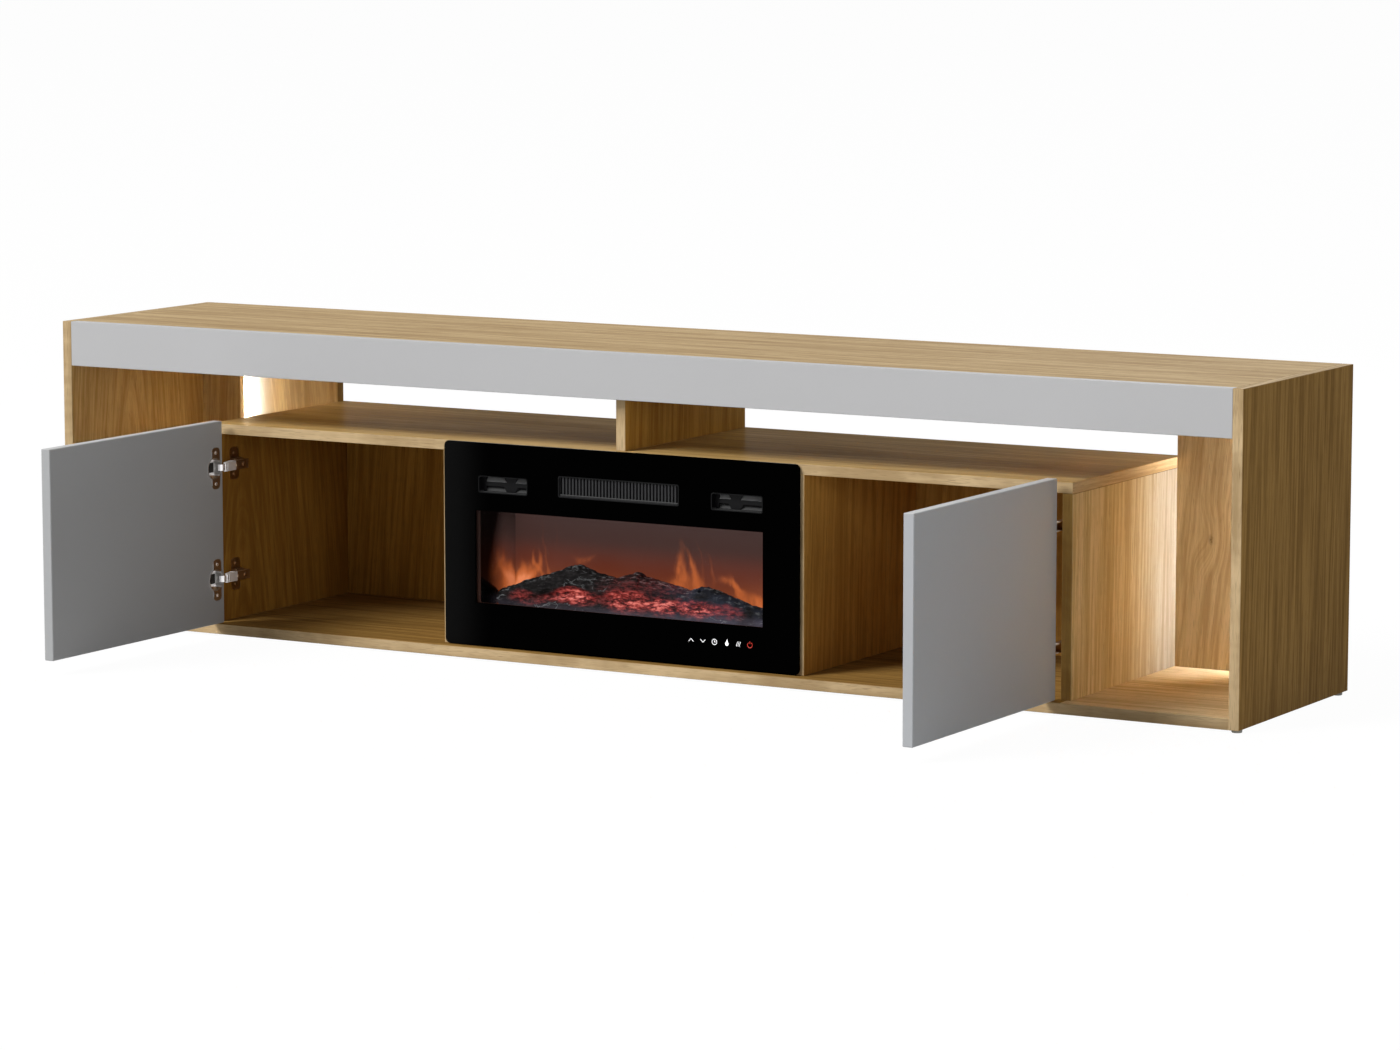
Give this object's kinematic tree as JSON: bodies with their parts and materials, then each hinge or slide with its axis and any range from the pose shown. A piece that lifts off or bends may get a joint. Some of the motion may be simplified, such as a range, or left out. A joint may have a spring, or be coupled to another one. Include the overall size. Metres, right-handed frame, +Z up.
{
  "type": "fireplace tv stand",
  "caption": "Low wide television stand in oak-look board with lit end niches, grey doors on concealed hinges and an electric fireplace in the middle.",
  "frame": {"origin": "on the floor, under the middle of the box that holds the stand with both doors open at a right angle", "axes": "+X to the right as seen from the front, +Y to the back, +Z up"},
  "size_m": [2, 0.8084, 0.475],
  "materials": {
    "oak_board": "satin oak-look melamine",
    "grey_fascia": "matt grey lacquered board",
    "grey_door": "matt grey lacquered board",
    "glide": "moulded nylon",
    "led_lens": "lit warm white lens",
    "hinge_nickel": "bright nickel plate",
    "black_glass": "tempered glass, black behind, clear over the flames",
    "black_steel": "matt black powder coat",
    "black_plastic": "fine texture",
    "flame_screen": "translucent, lit from behind",
    "log_resin": "painted resin",
    "galvanised": "galvanised sheet",
    "fan_aluminium": "mill finish",
    "motor_brass": "plated",
    "circuit": "solder mask"
  },
  "bodies": {
    "carcass": {"top_board": "oak_board", "bottom_board": "oak_board", "front_fascia": "grey_fascia", "shelf_board": "oak_board", "centre_divider": "oak_board", "middle_foot": "glide", "left_side_panel": "oak_board", "left_cabinet_side": "oak_board", "left_partition": "oak_board", "left_compartment_back": "oak_board", "left_niche_back": "oak_board", "left_led_cover": "oak_board", "left_led_strip": "led_lens", "left_front_foot": "glide", "left_back_foot": "glide", "left_lower_hinge_plate": "hinge_nickel", "left_lower_hinge_arm": "hinge_nickel", "left_upper_hinge_plate": "hinge_nickel", "left_upper_hinge_arm": "hinge_nickel", "right_side_panel": "oak_board", "right_cabinet_side": "oak_board", "right_partition": "oak_board", "right_compartment_back": "oak_board", "right_niche_back": "oak_board", "right_led_cover": "oak_board", "right_led_strip": "led_lens", "right_front_foot": "glide", "right_back_foot": "glide", "right_lower_hinge_plate": "hinge_nickel", "right_lower_hinge_arm": "hinge_nickel", "right_upper_hinge_plate": "hinge_nickel", "right_upper_hinge_arm": "hinge_nickel", "fire_glass": "black_glass", "fire_front_plate": "black_steel", "fire_outlet_grille": "black_plastic", "fire_left_vent": "black_plastic", "fire_right_vent": "black_plastic", "firebox": "black_steel", "flame_screen": "flame_screen", "log_bed": "log_resin", "blower_housing": "galvanised", "blower_motor": "black_steel", "heater_core": "fan_aluminium", "spindle_motor": "motor_brass", "flame_light_board": "circuit", "touch_board": "circuit", "power_inlet": "black_plastic"},
    "left_door_leaf": {"left_door": "grey_door", "left_lower_hinge_cup": "hinge_nickel", "left_upper_hinge_cup": "hinge_nickel"},
    "left_links": {"left_lower_hinge_link": "hinge_nickel", "left_upper_hinge_link": "hinge_nickel"},
    "right_door_leaf": {"right_door": "grey_door", "right_lower_hinge_cup": "hinge_nickel", "right_upper_hinge_cup": "hinge_nickel"},
    "right_links": {"right_lower_hinge_link": "hinge_nickel", "right_upper_hinge_link": "hinge_nickel"},
    "blower_fan": {"blower_wheel": "fan_aluminium"},
    "projector_spindle": {"flame_spindle": "fan_aluminium"}
  },
  "joints": [
    {"name": "left_door_hinge", "type": "hinge", "parent": "carcass", "child": "left_door_leaf", "pos_m": [-0.72525, 0.0165, 0.17825], "axis": [0, 0, 1], "range_deg": [-5, 90]},
    {"name": "left_link_pivot", "type": "hinge", "parent": "carcass", "child": "left_links", "pos_m": [-0.702, 0.03175, 0.17825], "axis": [0, 0, 1], "range_deg": [-103, 6]},
    {"name": "right_door_hinge", "type": "hinge", "parent": "carcass", "child": "right_door_leaf", "pos_m": [0.72525, 0.0165, 0.17825], "axis": [0, 0, -1], "range_deg": [-5, 90]},
    {"name": "right_link_pivot", "type": "hinge", "parent": "carcass", "child": "right_links", "pos_m": [0.702, 0.03175, 0.17825], "axis": [0, 0, -1], "range_deg": [-103, 6]},
    {"name": "blower_spin", "type": "hinge", "parent": "carcass", "child": "blower_fan", "pos_m": [0, 0.11425, 0.2656], "axis": [1, 0, 0], "continuous": true},
    {"name": "spindle_spin", "type": "hinge", "parent": "carcass", "child": "projector_spindle", "pos_m": [0, 0.15325, 0.0583], "axis": [1, 0, 0], "continuous": true}
  ],
  "couplings": [
    {"joint": "left_link_pivot", "follows": "left_door_hinge", "ratio": -1.135},
    {"joint": "right_link_pivot", "follows": "right_door_hinge", "ratio": -1.135}
  ]
}
